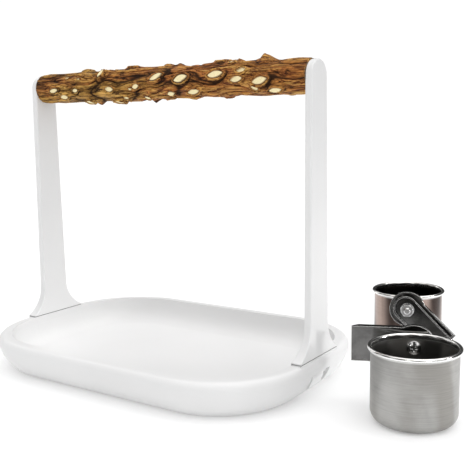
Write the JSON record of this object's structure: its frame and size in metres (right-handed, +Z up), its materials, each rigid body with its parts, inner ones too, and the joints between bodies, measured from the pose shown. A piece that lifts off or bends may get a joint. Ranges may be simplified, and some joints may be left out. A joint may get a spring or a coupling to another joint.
{
  "type": "table perch stand",
  "caption": "White moulded tray with plug-in uprights that hold a natural branch perch, beside steel feeding cups with screw clamps.",
  "frame": {"origin": "in the plane of the four feet's soles, under the centre of the tray", "axes": "+X along the perch towards the upright beside the cups, +Y to the back, +Z up"},
  "size_m": [0.4109, 0.2949, 0.2585],
  "materials": {
    "white_plastic": "moulded, satin",
    "foot_rubber": "soft, matt",
    "branch_wood": "natural bark, oiled",
    "pin_steel": "ground",
    "cup_steel": "polished sheet",
    "clamp_steel": "pressed sheet",
    "screw_steel": "bright plated"
  },
  "bodies": {
    "stand": {"tray": "white_plastic", "left_upright": "white_plastic", "right_upright": "white_plastic", "perch": "branch_wood", "left_perch_pin": "pin_steel", "right_perch_pin": "pin_steel", "front_left_foot": "foot_rubber", "front_right_foot": "foot_rubber", "back_left_foot": "foot_rubber", "back_right_foot": "foot_rubber"},
    "left_latch_tongue": {"left_latch": "white_plastic"},
    "right_latch_tongue": {"right_latch": "white_plastic"},
    "front_cup_body": {"front_cup": "cup_steel", "front_cup_bolt": "screw_steel", "front_lock_nut": "screw_steel"},
    "front_clamp": {"front_clamp_base": "clamp_steel"},
    "front_lever": {"front_clamp_lever": "clamp_steel"},
    "front_washer_body": {"front_washer": "screw_steel"},
    "front_nut": {"front_clamp_nut": "screw_steel"},
    "rear_cup_body": {"rear_cup": "cup_steel", "rear_cup_bolt": "screw_steel", "rear_lock_nut": "screw_steel"},
    "rear_clamp": {"rear_clamp_base": "clamp_steel"},
    "rear_lever": {"rear_clamp_lever": "clamp_steel"},
    "rear_washer_body": {"rear_washer": "screw_steel"},
    "rear_nut": {"rear_clamp_nut": "screw_steel"}
  },
  "joints": [
    {"name": "left_latch_press", "type": "hinge", "parent": "stand", "child": "left_latch_tongue", "pos_m": [-0.1433, 0, 0.026], "axis": [0, -1, 0], "range_deg": [0, 6.5], "stiffness_Nm_per_rad": 1},
    {"name": "right_latch_press", "type": "hinge", "parent": "stand", "child": "right_latch_tongue", "pos_m": [0.1433, 0, 0.026], "axis": [0, 1, 0], "range_deg": [0, 6.5], "stiffness_Nm_per_rad": 1},
    {"name": "front_cup_lift", "type": "slide", "parent": "stand", "child": "front_cup_body", "axis": [0, 0, 1], "range_m": [0, 0.08]},
    {"name": "front_clamp_swivel", "type": "hinge", "parent": "front_cup_body", "child": "front_clamp", "pos_m": [0.21563, 0.0194, 0.0445], "axis": [-0.3665, 0.9304, 0], "range_deg": [-45, 225]},
    {"name": "front_lever_open", "type": "hinge", "parent": "front_clamp", "child": "front_lever", "pos_m": [0.22625, 0.02519, 0.0445], "axis": [0, 0, -1], "range_deg": [-7.3, 6]},
    {"name": "front_washer_slide", "type": "slide", "parent": "front_clamp", "child": "front_washer_body", "axis": [-0.3665, 0.9304, 0], "range_m": [-0.0024, 0.002]},
    {"name": "front_nut_turn", "type": "hinge", "parent": "front_washer_body", "child": "front_nut", "pos_m": [0.21337, 0.02515, 0.0445], "axis": [-0.3665, 0.9304, 0], "range_deg": [-856, 704]},
    {"name": "rear_cup_lift", "type": "slide", "parent": "stand", "child": "rear_cup_body", "axis": [0, 0, 1], "range_m": [0, 0.08]},
    {"name": "rear_clamp_swivel", "type": "hinge", "parent": "rear_cup_body", "child": "rear_clamp", "pos_m": [0.16954, 0.12629, 0.0445], "axis": [0.342, -0.9397, 0], "range_deg": [0, 225]},
    {"name": "rear_lever_open", "type": "hinge", "parent": "rear_clamp", "child": "rear_lever", "pos_m": [0.16208, 0.12197, 0.05298], "axis": [-0.6645, -0.2418, -0.7071], "range_deg": [-7.3, 6]},
    {"name": "rear_washer_slide", "type": "slide", "parent": "rear_clamp", "child": "rear_washer_body", "axis": [0.342, -0.9397, 0], "range_m": [-0.0024, 0.002]},
    {"name": "rear_nut_turn", "type": "hinge", "parent": "rear_washer_body", "child": "rear_nut", "pos_m": [0.17166, 0.12048, 0.0445], "axis": [0.342, -0.9397, 0], "range_deg": [-856, 704]}
  ],
  "couplings": [
    {"joint": "front_nut_turn", "follows": "front_lever_open", "ratio": 116.87},
    {"joint": "front_washer_slide", "follows": "front_lever_open", "m_per_rad": 0.0186},
    {"joint": "rear_nut_turn", "follows": "rear_lever_open", "ratio": 116.87},
    {"joint": "rear_washer_slide", "follows": "rear_lever_open", "m_per_rad": 0.0186}
  ]
}
